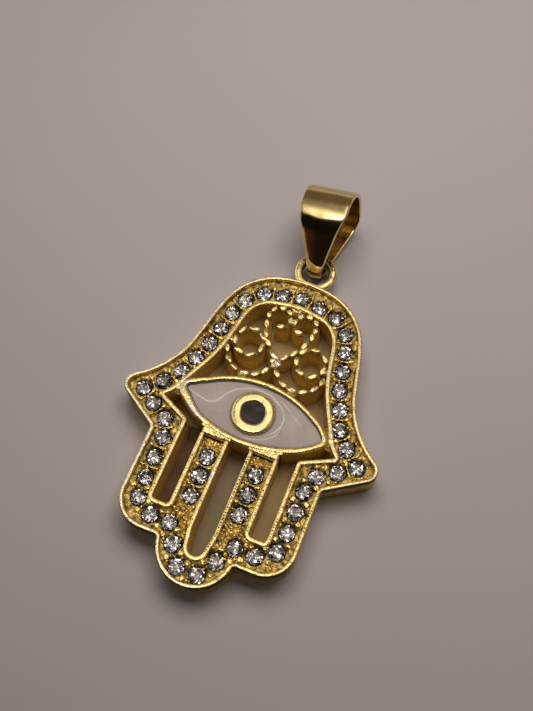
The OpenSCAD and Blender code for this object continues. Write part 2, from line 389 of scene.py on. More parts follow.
def enamel_white():
    m, nt, b = new_mat("enamel_pearl")
    p = coords(nt)
    cloud = ramp(nt, tex_noise(nt, p, 0.55, 3.0), [(0.3, (0.455, 0.362, 0.312)), (0.7, (0.52, 0.42, 0.362))])
    # pale: painted reflections, streaks drawn on the enamel
    col = mix(nt, attribute(nt, "pale"), cloud, (0.95, 0.89, 0.83))
    speck = ramp(nt, tex_noise(nt, p, 5.5, 1.0), [(0.22, (0.17, 0.15, 0.15)), (0.27, (1, 1, 1))])
    col = mix(nt, 0.5, col, speck, "MULTIPLY")
    # painted shade under the lids, along the edges and round the iris ring
    col = mix(nt, attribute(nt, "dirt"), col, (0.012, 0.007, 0.004))
    link(nt, col, b.inputs["Base Color"])
    r = ramp(nt, tex_noise(nt, p, 2.0), [(0.3, (0.2,) * 3), (0.7, (0.32,) * 3)])
    link(nt, r, b.inputs["Roughness"])
    b.inputs["IOR"].default_value = 1.5
    b.inputs["Specular IOR Level"].default_value = 0.35
    b.inputs["Coat Weight"].default_value = 0.15
    b.inputs["Coat Roughness"].default_value = 0.1
    link(nt, bump(nt, tex_noise(nt, p, 1.2, 2.0), 1.0, 0.02), b.inputs["Normal"])
    return m


def enamel_black():
    m, nt, b = new_mat("enamel_black")
    p = coords(nt)
    col = ramp(nt, tex_noise(nt, p, 1.6, 4.0), [(0.35, (0.005, 0.004, 0.004)), (0.72, (0.038, 0.027, 0.028))])
    link(nt, col, b.inputs["Base Color"])
    b.inputs["Specular IOR Level"].default_value = 0.3
    link(nt, ramp(nt, tex_noise(nt, p, 3.0), [(0.3, (0.18,) * 3), (0.7, (0.38,) * 3)]), b.inputs["Roughness"])
    link(nt, bump(nt, tex_noise(nt, p, 2.5, 3.0), 1.0, 0.03), b.inputs["Normal"])
    return m


def stone_crown():
    m, nt, b = new_mat("stone_crown")
    p = coords(nt)
    b.inputs["Base Color"].default_value = (0.97, 0.97, 1.0, 1)
    b.inputs["Transmission Weight"].default_value = 1.0
    b.inputs["IOR"].default_value = 1.9
    link(nt, ramp(nt, tex_noise(nt, p, 4.0), [(0.4, (0.0,) * 3), (0.9, (0.03,) * 3)]), b.inputs["Roughness"])
    return m


def stone_foot(name, lo, hi):
    """One tone of the facets under the crown, painted light: facets that pass the light on are painted dark, those that
    throw it back are painted bright.
    """
    m, nt, b = new_mat(name)
    p = coords(nt)
    link(nt, ramp(nt, tex_noise(nt, p, 2.2, 2.0), [(0.35, lo), (0.65, hi)]), b.inputs["Base Color"])
    b.inputs["Metallic"].default_value = 1.0
    b.inputs["Roughness"].default_value = 0.04
    return m


PIT, PEARL, BLACK, CROWN = pit_mat(), enamel_white(), enamel_black(), stone_crown()
FACETS = [stone_foot("stone_dark", (0.03, 0.028, 0.03), (0.12, 0.11, 0.115)), stone_foot("stone_mid", (0.22, 0.205, 0.205), (0.42, 0.40, 0.40)),
          stone_foot("stone_bright", (0.86, 0.85, 0.86), (0.98, 0.97, 0.98))]


# ---------------------------------------------------------------- stones' places
def along(path, s):
    for a, b in zip(path[:-1], path[1:]):
        d = math.dist(a, b)
        if s <= d:
            return np.array(a) + (np.array(b) - np.array(a)) * s / d, (np.array(b) - np.array(a)) / d
        s -= d
    return np.array(path[-1], float), (np.array(path[-1]) - np.array(path[-2])) / math.dist(path[-1], path[-2])


pitch = sum(math.dist(a, b) for a, b in zip(ROW[:-1], ROW[1:])) / 20.5
half_row = [along(ROW, i * pitch)[0] for i in range(21)]
loop_row = half_row + [p * [-1, 1] for p in half_row[:0:-1]]
fingers = [[np.array([sx * x, y]) for x, y in FINGER] for sx in (1, -1)]
stones = loop_row + fingers[0] + fingers[1]

# ---------------------------------------------------------------- the casting
cast = Shape()
P_RIM = [(0.07, 0.0), (0.0, 0.07), (0.0, 1.3), (0.0, 2.40), (0.008, 2.48), (0.028, 2.54), (0.062, 2.58),
         (0.115, 2.597), (0.2, 2.6), (0.28, 2.597), (0.328, 2.578), (0.356, 2.54), (0.372, 2.46), (0.385, 2.35), (0.39, 2.0)]
# painted shade: darker towards the foot of the outer wall and down the inner flank into the channel
D_RIM = np.array([0.45, 0.30, 0.16, 0.10, 0.05, 0.02, 0, 0, 0, 0, 0, 0.05, 0.15, 0.35, 0.8])


def rim_rings(table, sign, profile, **part):
    """Rings of a rim, its inner edge and crest a little uneven, its outer wall true."""
    base = contour(table, 0.0, **part)
    w = waver(base, 0.9, 0.035, 3.0) + waver(base, 3.1, 0.02, 9.0)
    zz = waver(base, 0.7, 0.02, 21.0) + waver(base, 2.4, 0.012, 31.0)
    rings = []
    for inset, z in profile:
        if sign > 0 and inset > 0.03:
            inset *= 0.86
        q = contour(table, sign * inset, **part)
        far = contour(table, sign * (inset + 0.05), **part)
        k = smooth(0.06, 0.3, inset)
        q = q + (far - q) / 0.05 * (w * k)[:, None]
        up = np.where(z > 2.3, np.minimum(zz, 0.0) * smooth(2.3, 2.6, z), 0.0)
        rings.append(np.c_[q, z + up])
    return np.array(rings), base


rings, base = rim_rings(both(OUTLINE), 1, P_RIM[:3] + [(0.0, 2.02), (0.0, 2.2)] + P_RIM[3:])
# painted sheen: the plate's outer edge is painted pale along the left and over the top
pale_sheen = smooth(0.02, 0.5, -(base[:, 0] + 0.35 * np.minimum(base[:, 1], 0)) / 9.0 + 0.2 * waver(base, 0.8, 1.6, 5.0)) * (base[:, 0] < 1)
pale_sheen = np.maximum(pale_sheen, 0.6 * smooth(10.4, 11.8, base[:, 1]) * smooth(5.0, 3.0, base[:, 0]))
pale = np.array([pale_sheen * f for f in [0, 0.1, 0.2, 0.5, 0.6, 0.7, 0.9, 1, 1, 0.8, 0.45, 0.2, 0.1, 0, 0, 0, 0]])
# a weaker painted sheen on the crest of the right rims
right = 0.2 * smooth(3.5, 6.0, base[:, 0]) * smooth(-4.5, -2.0, base[:, 1])
pale = np.maximum(pale, np.array([right * f for f in [0, 0, 0, 0, 0, 0.5, 0.8, 1, 1, 1, 1, 1, 1, 0.5, 0, 0, 0]]))
# painted shade: a dark line runs under its shoulder, widest where the wall faces down
down = smooth(-0.1, 0.75, (contour(both(OUTLINE), 0.05) - base)[:, 1] / 0.05)
tips = smooth(-8.0, -10.0, base[:, 1])      # and wider still at the fingertips
line = np.array([(f * (1 - tips) + g * tips) * (0.25 + 0.75 * down) for f, g in
                 zip([0, 0, 0.1, 0.7, 1.15, 1.2, 1.15, 0.9, 0.3, 0, 0, 0, 0, 0, 0, 0, 0],
                     [0, 0.2, 0.8, 1.2, 1.2, 1.2, 1.2, 1.2, 0.8, 0.2, 0, 0, 0, 0, 0, 0, 0])])
dirt = np.maximum(np.insert(D_RIM, 3, [0.14, 0.12])[:, None], line).ravel()
cast.sweep(rings, flip=True, dirt=dirt, pale=pale * 0.85 * np.clip(1 - line, 0, 1), mat=0)

P_WIN = [(i, z) for i, z in P_RIM[2:]]
P_WIN = [(0.06, 0.0), (0.0, 0.06), (0.0, 0.9)] + P_WIN
# painted shade: darker towards the foot of the opening's wall and down the rim's flank
D_WIN = np.concatenate([[0.5, 0.42, 0.3, 0.2], np.minimum(D_RIM[3:], [0.15, 0.1] + [1.0] * 10)])
win = both(WINDOW)
rings, base = rim_rings(win, -1, P_WIN, first=9, count=18)
# a weaker painted sheen on the crest of the window's right rim
right = 0.2 * smooth(2.0, 4.5, base[:, 0]) * smooth(-3.0, -1.0, base[:, 1])
cast.sweep(rings[:5], closed=False, dirt=D_WIN[:5], mat=1)
cast.sweep(rings[4:], closed=False, dirt=D_WIN[4:], pale=np.repeat([right], len(rings) - 4, 0), mat=0)

slot = both(SLOT)
rings, base = rim_rings(slot, -1, P_WIN, first=0, count=6)
cast.sweep(rings[:5], closed=False, dirt=D_WIN[:5], mat=1)
spot = np.exp(-((base[:, 0] + 0.8) / 0.4) ** 2 - ((base[:, 1] + 5.6) / 0.45) ** 2)     # a pale spot on the rim
cast.sweep(rings[4:], closed=False, dirt=D_WIN[4:], pale=np.repeat([0.85 * spot], len(rings) - 4, 0), mat=0)

# heads of the fingers, which run into the lower lid
for sx in (1, -1):
    x0, x1 = sorted((sx * 0.83, sx * 3.17))
    tab = [(x1, -2.1, 0.03), (x1, -2.9, 0.06), (x0, -2.9, 0.06), (x0, -2.1, 0.03)]
    rows = []
    for inset, z in [(0.0, 0.03), (0.0, 2.36), (0.012, 2.44), (0.04, 2.52), (0.085, 2.58), (0.14, 2.62), (0.2, 2.64)]:
        q = contour(tab, inset)
        rows.append(np.c_[q, z + 0.04 * smooth(2.3, 2.6, z) * np.clip((q[:, 1] + 2.9) / 0.6, 0, 1)])
    # painted shade down the walls of the heads
    cast.sweep(rows, flip=True, dirt=np.array([0.9, 0.9, 0.5, 0.1, 0, 0, 0]), mat=0)
    top = rows[-1]
    cast.add(top, [tuple(range(len(top)))[::-1]], mat=0)

# boat of the eye: outer wall, bezel and inner wall
P_BEZ = [(0.9, 0.04), (1.0, 0.12), (1.0, 1.4), (1.0, 2.42), (0.985, 2.53), (0.94, 2.62), (0.86, 2.685), (0.74, 2.725),
         (0.6, 2.745), (0.45, 2.75), (0.3, 2.742), (0.17, 2.72), (0.07, 2.68), (0.015, 2.62), (0.0, 2.54), (0.0, 1.9)]
# painted shade: darker at the foot of the outer wall and on the inner wall under the bezel's edge
D_BEZ = np.array([0.5, 0.4, 0.25, 0.2, 0.1, 0.03, 0, 0, 0, 0, 0, 0.0, 0.1, 0.6, 1.0, 1.0])
eye0 = almond(0.0)
bw, bz = waver(eye0, 0.8, 0.05, 41.0), waver(eye0, 1.1, 0.02, 47.0)
rings = []
for t, z in P_BEZ:
    q = almond(t)
    d = (almond(t + 0.1) - q) / 0.1
    q = q + d * (bw * (1 if 0.05 < t < 0.95 else 0.3))[:, None]
    rings.append(np.c_[q, z + np.where(z > 2.3, np.minimum(bz, 0), 0)])
rings = np.array(rings)
cast.sweep(rings[:4], flip=True, dirt=D_BEZ[:4], mat=1)
# painted highlight: pale patches on the lower lid's left and at the left tip
bezel_highlight = 0.85 * np.exp(-(near([(-4.5, -1.0), (-3.8, -1.5)], eye0) / 0.35) ** 2) + 0.4 * np.exp(-(near([(-5.9, 0.1), (-5.7, 0.4)], eye0) / 0.5) ** 2)
cast.sweep(rings[3:], flip=True, dirt=D_BEZ[3:], pale=np.repeat([bezel_highlight], len(rings) - 3, 0), mat=0)
cast.add(rings[0], [tuple(range(len(eye0)))], dirt=0.2, mat=2)

# each tip runs into the frame of the window
crest, frame_line = almond(0.62), contour(win, -0.2)
for sx in (1, -1):
    c1, c2 = [np.array(sorted((y, x * sx) for x, y in line if x * sx > 4.6 and -1.0 < y < 1.6)) for line in (crest, frame_line)]
    ys = np.linspace(-0.55, 1.05, 30)
    xa, xb = np.interp(ys, *c1.T), np.interp(ys, *c2.T)
    rows = []
    for k in np.linspace(0, 1, 13):
        x = xa + (xb - xa) * k
        z = 2.70 - 0.11 * k - 0.06 * math.sin(math.pi * k) - 0.5 * math.sin(math.pi * k) ** 0.5 * (smooth(0.45, 1.05, ys) ** 2 + smooth(-0.2, -0.55, ys))
        z = z + waver(np.c_[x, ys], 3.0, 0.05, 90.0 + sx)
        rows.append(np.c_[x * sx, ys, np.minimum(z, 2.735)])
    # the left junction is painted pale, a painted sheen
    cast.sweep(rows, closed=False, flip=sx > 0, dirt=0.05, pale=0.5 * (sx < 0), mat=0)

# the heads of the fingers are run together with the lower lid
for sx in (1, -1):
    for k in range(19):
        x = 0.86 + 2.28 * k / 18
        y = LOWER[0] - math.sqrt((LOWER[1] + 0.43) ** 2 - x * x)
        cast.blob(np.array([sx * x, y + rnd.uniform(-0.05, 0.05), 2.665]), np.array([rnd.uniform(0.12, 0.18), rnd.uniform(0.13, 0.18), 0.05]),
                  turn_z(rnd.uniform(-0.5, 0.5)), 6, 12, lumpy=0.3, mat=0)

# iris ring
P_IRIS = [(1.76, 1.9), (1.76, 2.44), (1.745, 2.56), (1.715, 2.66), (1.67, 2.745), (1.61, 2.80), (1.53, 2.835), (1.42, 2.848),
          (1.12, 2.848), (1.04, 2.842), (0.985, 2.815), (0.955, 2.76), (0.95, 2.6), (0.95, 1.9)]
# painted shade on both flanks of the ring, most towards their feet
D_IRIS = np.array([0.9, 0.8, 0.55, 0.35, 0.2, 0.08, 0, 0, 0, 0.05, 0.3, 0.6, 0.8, 0.9])
ang = np.linspace(0, -2 * math.pi, 72, endpoint=False)
circ = np.c_[np.cos(ang), np.sin(ang)]
wob_in = waver(circ, 1.3, 0.06, 60.0) + waver(circ, 3.0, 0.03, 61.0)
wob_top = waver(circ * 1.3, 1.4, 0.03, 63.0)
rows = []
for r, z in P_IRIS:
    rr = r + wob_in * (r < 1.2) + 0.3 * wob_in * (r >= 1.2)
    rows.append(np.c_[circ * np.asarray(rr)[:, None], z + np.where(z > 2.7, np.minimum(wob_top, 0), 0)])
cast.sweep(rows, flip=True, dirt=D_IRIS, mat=4)

# back face: a flat plate with the openings cut out
def plate(loops_out, holes, z, up, extra=None, zfun=None, dirtfun=None, mat=2, spots=()):
    pts, edges = [], []
    for lp in [loops_out, *holes, *spots]:
        s = len(pts)
        pts += [Vector(p) for p in lp]
        edges += [(s + i, s + (i + 1) % len(lp)) for i in range(len(lp))]
    if extra is not None:
        pts += [Vector(p) for p in extra]
    v2, _, tris, _, _, _ = delaunay_2d_cdt(pts, edges, [], 0, 1e-5)
    v2 = np.array([tuple(p) for p in v2])
    tris = np.array([t for t in tris if len(t) == 3])
    c = v2[tris].mean(1)
    ok = inside(loops_out, c)
    for h in [*holes, *spots]:
        ok &= ~inside(np.asarray(h), c)
    tris = tris[ok]
    e1, e2 = v2[tris[:, 1]] - v2[tris[:, 0]], v2[tris[:, 2]] - v2[tris[:, 0]]
    ccw = e1[:, 0] * e2[:, 1] - e1[:, 1] * e2[:, 0] > 0
    tris = np.where((ccw == up)[:, None], tris, tris[:, ::-1])
    zz = zfun(v2) if zfun else np.full(len(v2), z)
    cast.add(np.c_[v2, zz], tris.tolist(), dirtfun(v2) if dirtfun else 0.12, 0.0, mat)


outline_pts = contour(both(OUTLINE), 0.07)
win_hole = contour(win, -0.06)
slot_hole = np.array([p for p in contour(slot, -0.06)])
plate(outline_pts, [win_hole, slot_hole], 0.0, False)

# sunken floor of the border, rough as cast, with a pit between neighbouring stones
floor_out = contour(both(OUTLINE), 0.31)
floor_win = contour(win, -0.345)
floor_slot = contour(slot, -0.345)
seat_n = 28
seat_c = np.c_[np.cos(np.linspace(0, 2 * math.pi, seat_n, endpoint=False)), np.sin(np.linspace(0, 2 * math.pi, seat_n, endpoint=False))]
SEAT_R = 0.665
seats = [p + seat_c * SEAT_R for p in stones]

pairs = [(a, b) for a, b in zip(loop_row, loop_row[1:] + loop_row[:1])]
for fs in fingers:
    pairs += list(zip(fs[:-1], fs[1:]))
mids = np.array([(a + b) / 2 - (b - a) * 0.07 * np.sign((b - a)[1] + 1e-6) for a, b in pairs])      # the deepest spot is on the lower side

st = np.array(stones)
step = 0.13
gx, gy = np.meshgrid(np.arange(-10.4, 10.4, step), np.arange(-13.7, 12.3, step * 0.87))
gx = gx + (np.arange(gx.shape[0]) % 2)[:, None] * step / 2
grid = np.c_[gx.ravel(), gy.ravel()] + np.array([[rnd.uniform(-0.3, 0.3) * step, rnd.uniform(-0.3, 0.3) * step] for _ in range(gx.size)])
d_st = np.min(np.linalg.norm(grid[:, None] - st[None], axis=2), axis=1)
ok = inside(contour(both(OUTLINE), 0.45), grid) & ~inside(contour(win, -0.42), grid) & ~inside(contour(slot, -0.42), grid) & (d_st > SEAT_R + 0.06)
grid = grid[ok]


walls = np.concatenate([floor_out, floor_win, floor_slot])


def off_wall(p):
    """Distance of each point to the nearest rim."""
    return np.concatenate([np.min(np.linalg.norm(q[:, None] - walls[None], axis=2), axis=1) for q in np.array_split(p, 12)])


def seat_shade(p):
    """How far above the middle of its nearest stone each point is, from 0 to 1."""
    gap = p[:, None] - st[None]
    k = np.argmin(np.linalg.norm(gap, axis=2), axis=1)
    rel = gap[np.arange(len(p)), k]
    return smooth(-0.3, 0.8, rel[:, 1] / np.maximum(np.linalg.norm(rel, axis=1), 1e-6))


def floor_z(p):
    ds = np.min(np.linalg.norm(p[:, None] - st[None], axis=2), axis=1)
    dm = np.min(np.linalg.norm(p[:, None] - mids[None], axis=2), axis=1)
    rough = waver(p, 3.4, 0.10, 12.0) + waver(p, 7.5, 0.05, 14.0)
    z = FLOOR_Z + rough * smooth(0.0, 0.1, ds - SEAT_R) - 0.16 * np.exp(-(dm / 0.17) ** 2)
    z = z - 0.10 * seat_shade(p) * np.exp(-((ds - SEAT_R - 0.08) / 0.07) ** 2)
    return np.minimum(z, 2.3)


# painted shade in the pits between stones, round each seat and most on its upper side, along the rims, in the floor's
# hollows and under the rough patches' grains, over grime blotches
def floor_dirt(p):
    ds = np.min(np.linalg.norm(p[:, None] - st[None], axis=2), axis=1)
    dm = np.min(np.linalg.norm(p[:, None] - mids[None], axis=2), axis=1)
    blot = waver(p, 1.7, 0.9, 17.0)
    low = waver(p, 3.4, 1.0, 12.0)
    blot = blot + 0.5 * (np.abs(p[:, 0]) < 3.0) * smooth(-8.1, -8.5, p[:, 1]) * smooth(-11.2, -10.6, p[:, 1])
    up = seat_shade(p)
    return np.clip(0.32 + blot * 0.45 - low * 0.9 + 0.8 * np.exp(-(dm / 0.2) ** 2) + (0.2 + 0.7 * up) * np.exp(-((ds - SEAT_R) / (0.06 + 0.09 * up)) ** 2)
                   + (0.30 + blot * 0.6) * np.exp(-(off_wall(p) / 0.09) ** 2), 0, 1)


plate(floor_out, [floor_win, floor_slot], FLOOR_Z, True, grid, floor_z, floor_dirt, 3, seats)

# drilled seats, their walls and floor darkened under the stones as painted shade
for p in stones:
    rows = [np.c_[p + seat_c * r, np.full(seat_n, z)] for r, z in ((SEAT_R, FLOOR_Z), (0.64, 2.05), (0.5, 1.85), (0.12, 1.68))]
    cast.sweep(rows, flip=False, dirt=np.array([0.45, 0.9, 1.0, 1.0]), mat=3)
    cast.add(rows[-1], [tuple(range(seat_n))], dirt=1.0, mat=3)

# scrollwork: walls of the wires down to the back
SCROLLS = [  # centre x, y, radius, start, sweep, first bead, bead step, beads
    (1.10, 8.47, 0.92, -15, 205, -4, 45, 5),
    (0.85, 8.38, 0.60, 180, 120, 258, 60, 1),
    (-2.37, 8.65, 4.40, -55, 49, -50, 12.6, 4),
    (2.63, 5.65, 1.16, 0, 360, 90, -360 / 7, 7),
    (2.10, 4.95, 2.00, 198, 148, 216, 26, 6),
]
for sx in (1, -1):
    for cx, cy, r, a0, sw, b0, bs, bn in SCROLLS:
        n = max(8, int(sw * r * math.pi / 180 / 0.12))
        th = np.radians(np.linspace(a0, a0 + sw, n, endpoint=True))
        dirs = np.c_[np.cos(th), np.sin(th)]
        rows = []
        for w, z in ((-0.38, 0.03), (-0.27, 1.15), (-0.19, 1.86), (-0.13, 1.98), (0, 2.02), (0.13, 1.98), (0.19, 1.86), (0.27, 1.15), (0.38, 0.03)):
            q = np.array([cx, cy]) + dirs * (r + w)
            rows.append(np.c_[q[:, 0] * sx, q[:, 1], np.full(n, z)])
        # painted shade at the foot of the walls and on the wire's top between the beads
        cast.sweep(rows, closed=False, flip=sx > 0, dirt=np.array([0.35, 0.15, 0.3, 0.75, 0.8, 0.75, 0.3, 0.15, 0.35]), mat=1)

# collars and tabs
for x, y, w, d, z in [(0, 4.6, 0.62, 0.8, 2.36), (0, 8.42, 0.6, 0.5, 2.3), (0, 9.4, 0.8, 0.55, 2.28), (2.1, 2.72, 0.7, 0.4, 2.25), (-2.1, 2.72, 0.7, 0.4, 2.25),
                      (3.98, 5.3, 0.3, 0.5, 2.3), (-3.98, 5.3, 0.3, 0.5, 2.3), (4.12, 4.5, 0.4, 0.4, 2.3), (-4.12, 4.5, 0.4, 0.4, 2.3)]:
    tab = [(x + w / 2, y + d / 2, 0.08), (x + w / 2, y - d / 2, 0.08), (x - w / 2, y - d / 2, 0.08), (x - w / 2, y + d / 2, 0.08)]
    rows = [np.c_[contour(tab, i), np.full(len(contour(tab, i)), zz)] for i, zz in ((0, 0.06), (0, z - 0.12), (0.03, z - 0.05), (0.09, z))]
    # painted shade towards the foot, over an even grime on the tops
    cast.sweep(rows, flip=True, dirt=np.array([0.6, 0.35, 0.25, 0.2]), mat=1)
    cast.add(rows[-1], [tuple(range(len(rows[-1])))[::-1]], dirt=0.2, mat=1)

# foot that joins the loop to the crown
tab = [(0.95, 12.6, 0.3), (0.95, 11.9, 0.05), (-0.95, 11.9, 0.05), (-0.95, 12.6, 0.3)]
rows = [np.c_[contour(tab, i), np.full(len(contour(tab, i)), zz)] for i, zz in ((0.12, 0.95), (0.02, 1.05), (0, 1.3), (0.02, 1.55), (0.12, 1.66))]
cast.sweep(rows, flip=True, dirt=0.3, mat=0)
cast.add(rows[-1], [tuple(range(len(rows[-1])))[::-1]], dirt=0.25, mat=0)
cast.add(rows[0], [tuple(range(len(rows[0])))], dirt=0.25, mat=0)

body = cast.make("casting", [RIM, WALL, BACK, FLOOR, IRIS], "pendant")
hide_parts("hand")

# ---------------------------------------------------------------- loop
lp = Shape()
nu, nv = 96, 28
rows = []
for j in range(nv + 1):
    b = -2 * math.pi * j / nv
    a = np.linspace(0, -2 * math.pi, nu, endpoint=False)
    ring_xy = np.c_[np.cos(a), np.sin(a)]
    fat = LOOP_WIRE + np.minimum(waver(ring_xy * 1.5, 1.2, 0.04, 70.0 + 3 * math.cos(b)), 0)
    fat = fat * 0.97 / (abs(math.cos(b)) ** 2.7 + abs(math.sin(b)) ** 2.7) ** (1 / 2.7)
    rr = LOOP_R + fat * math.cos(b)
    rows.append(np.c_[ring_xy * rr[:, None] + [0, LOOP_Y], LOOP_Z + fat * math.sin(b)])
# painted shade on the inner face of the loop; its outer face is darkened as well
lp.sweep(rows, dirt=np.array([0.95 * smooth(0.2, 0.7, -c) + 0.5 * smooth(0.7, 1.0, c) for c in np.cos(np.linspace(0, 2 * math.pi, nv + 1))]), flip=False)
lp.make("loop", [LOOPM], "pendant", angle=60)

# ---------------------------------------------------------------- beads on the scrolls, grains, casting pits
bd = Shape()
for sx in (1, -1):
    for cx, cy, r, a0, sw, b0, bs, bn in SCROLLS:
        for i in range(bn):
            a = math.radians(b0 + i * bs + rnd.uniform(-2, 2))
            c = np.array([sx * (cx + r * math.cos(a)), cy + r * math.sin(a), 2.17])
            lean = math.atan2(math.cos(a), -sx * math.sin(a)) + math.radians(rnd.uniform(4, 16))
            half = 0.36 if bn == 1 else min(rnd.uniform(0.41, 0.46), 0.45 * abs(math.radians(bs)) * r)
            bd.blob(c, np.array([half, rnd.uniform(0.20, 0.23), 0.25]), turn_z(lean), 12, 18, lumpy=0.16, square=0.5,
                    pale=0.4 * math.exp(-(math.hypot(c[0], c[1] - 4.6) / 1.1) ** 2))
for x, y, a, b, rot in [(-0.22, 4.76, 0.32, 0.25, 0.9), (0.24, 4.64, 0.33, 0.26, -0.7), (0.02, 4.3, 0.27, 0.2, 0), (0, 5.04, 0.2, 0.17, 0.2), (0, 9.42, 0.34, 0.22, 0.1),
                        (0.02, 8.42, 0.3, 0.2, 0.1), (-2.1, 2.8, 0.28, 0.15, 0.3), (2.1, 2.8, 0.28, 0.15, -0.3),
                        (4.0, 5.25, 0.2, 0.16, 1.2), (-4.0, 5.25, 0.2, 0.16, 1.9), (0.28, 9.5, 0.3, 0.15, 0.6), (-0.28, 9.5, 0.3, 0.15, -0.6)]:
    bd.blob(np.array([x, y, 2.28]), np.array([a, b, 0.2]), turn_z(rot), 8, 14, lumpy=0.25, pale=0.6 * (abs(y - 4.6) < 0.3))
bd.make("scroll_beads", [WIRE], "pendant", angle=80)

gr = Shape()
places = []


def grain(p, size, z=FLOOR_Z, long=1.0, rot=0.0):
    places.append(np.array([p[0], p[1], size]))
    gr.blob(np.array([p[0], p[1], z + 0.02]), np.array([size * long, size, size * 1.35]), turn_z(rot), 6, 12, lumpy=0.25)


room = contour(both(OUTLINE), 0.47), contour(win, -0.45), contour(slot, -0.45)


def in_channel(q):
    return inside(room[0], q) & ~inside(room[1], q) & ~inside(room[2], q)


def scatter(cands):
    """Drops grains where they miss the stones and each other. cands has a row of x, y, size for each."""
    cands = np.array(cands)
    ok = in_channel(cands[:, :2]) & (np.min(np.linalg.norm(cands[:, None, :2] - st[None], axis=2), axis=1) > STONE_R + cands[:, 2] * 0.55)
    for x, y, s_ in cands[ok]:
        q = np.array(places)
        if np.all(np.hypot(q[:, 0] - x, q[:, 1] - y) > (s_ + q[:, 2]) * 0.95):
            grain((x, y), s_, FLOOR_Z - 0.01, rnd.uniform(1, 1.5), rnd.uniform(0, 3))


# two ridges bridge the gap between neighbouring stones, with a pit between them
for a, b in pairs:
    t = (b - a) / np.linalg.norm(b - a)
    nrm = np.array([-t[1], t[0]])
    for side in (1, -1):
        offs = (0.54, 0.48, 0.42, 0.36)
        q = np.array([(a + b) / 2 + nrm * side * off + t * rnd.uniform(-0.04, 0.04) for off in offs])
        for qq, ok in zip(q, in_channel(q)):
            if ok:
                places.append(np.array([*qq, 0.27]))
                way = math.atan2(t[1], t[0])
                # round beads at the fingertips and along the lower right border
                tip = qq[1] < -9.2 or (qq[0] > 2.9 and qq[1] < -2.0) or (qq[0] < -2.9 and qq[1] < -7.5)
                gr.blob(np.array([*(qq + 0.06 * t * np.sign(t[1] + 1e-6)), FLOOR_Z + rnd.uniform(0.03, 0.08)]),
                        np.array([rnd.uniform(0.13, 0.16), rnd.uniform(0.25, 0.31), 0.27]) * ((1.7, 0.85, 1.0) if tip else 1.0),
                        turn_z(way - side * rnd.uniform(0.1, 0.5) * np.sign(t[1] + 1e-6)), 10, 18, lumpy=0.25, square=0.6)
                more = nrm * side * 0.56 - t * 0.26 if tip else nrm * side * 0.2 + 0.03 * t * np.sign(t[1] + 1e-6)
                gr.blob(np.array([*((a + b) / 2 + more), FLOOR_Z]),
                        np.array([0.13, 0.13, 0.22] if tip else [0.09, 0.26, 0.22]), turn_z(way), 8, 12, lumpy=0.2, square=0.7)
                for end in ([np.sign(t[1] + 1e-6)] if rnd.random() < 0.6 else []):
                    half = rnd.uniform(0.07, 0.11)
                    gr.blob(np.array([*(qq + t * end * rnd.uniform(0.2, 0.28) - nrm * side * rnd.uniform(-0.04, 0.08)), FLOOR_Z + rnd.uniform(0.05, 0.1)]),
                            np.array([half * rnd.uniform(1.2, 1.6), half, 0.22]),
                            turn_z(way + rnd.uniform(-0.9, 0.9)), 8, 12, lumpy=0.35, square=0.85)
                break
# the ends of the fingers' rows and the rough patches
for sx in (1, -1):
    for y0, y1, n in ((-3.1, -3.75, 60), (-8.2, -8.95, 72), (-8.9, -9.7, 90), (-9.6, -10.9, 90)):
        scatter([(sx * rnd.uniform(1.2, 3.1), rnd.uniform(y1, y0), rnd.uniform(0.15, 0.2)) for _ in range(n // 2)])
        scatter([(sx * rnd.uniform(1.2, 3.1), rnd.uniform(y1, y0), rnd.uniform(0.10, 0.14)) for _ in range(n // 2)])
scatter([(rnd.uniform(-10, 10), rnd.uniform(-13.6, 12.1), rnd.uniform(0.09, 0.15)) for _ in range(4200)])
gr.make("grains", [GRAIN], "pendant", angle=80)

pt = Shape()


def pit(x, y, z, r):
    r *= 1.5
    pt.blob(np.array([x, y, z]), np.array([r, r * rnd.uniform(0.7, 1.3), 0.014]), turn_z(rnd.uniform(0, 3)), 4, 8)


def pits_along(x0, y0, x1, y1, gap, r, share=1.0, z=2.598):
    n = int(math.dist((x0, y0), (x1, y1)) / gap)
    for i in range(n + 1):
        if rnd.random() < share:
            t = i / max(n, 1)
            pit(x0 + (x1 - x0) * t + rnd.uniform(-0.03, 0.03), y0 + (y1 - y0) * t + rnd.uniform(-0.04, 0.04), z, r * rnd.uniform(0.7, 1.2))


pits_along(1.0, -3.3, 1.0, -9.6, 0.2, 0.042)
pits_along(0.95, -9.6, 0.72, -10.9, 0.2, 0.042)
pits_along(4.7, -3.0, 4.7, -8.6, 0.22, 0.035, 0.75)
pits_along(6.75, -4.2, 6.75, -8.8, 0.22, 0.035, 0.8)
pits_along(-1.0, -3.3, -1.0, -9.6, 0.24, 0.03, 0.5)
pits_along(-3.0, -3.4, -3.0, -8.4, 0.26, 0.03, 0.4)
pits_along(3.0, -3.3, 3.0, -8.4, 0.24, 0.032, 0.6)
pits_along(-4.7, -3.2, -4.7, -8.6, 0.3, 0.03, 0.35)
for _ in range(90):
    x = rnd.uniform(0.7, 3.0)
    yb = LOWER[0] - math.sqrt((LOWER[1] + 0.25) ** 2 - x * x)
    pit(x * rnd.choice((1, 1, -1)), yb + rnd.uniform(-0.2, 0.16), 2.737, rnd.uniform(0.015, 0.035))
for _ in range(26):
    pit(rnd.uniform(0.95, 2.9), rnd.uniform(-2.85, -2.5), 2.65, rnd.uniform(0.015, 0.035))
pt.make("casting_pits", [PIT], "pendant", angle=80)

# ---------------------------------------------------------------- stones
gem = Shape()


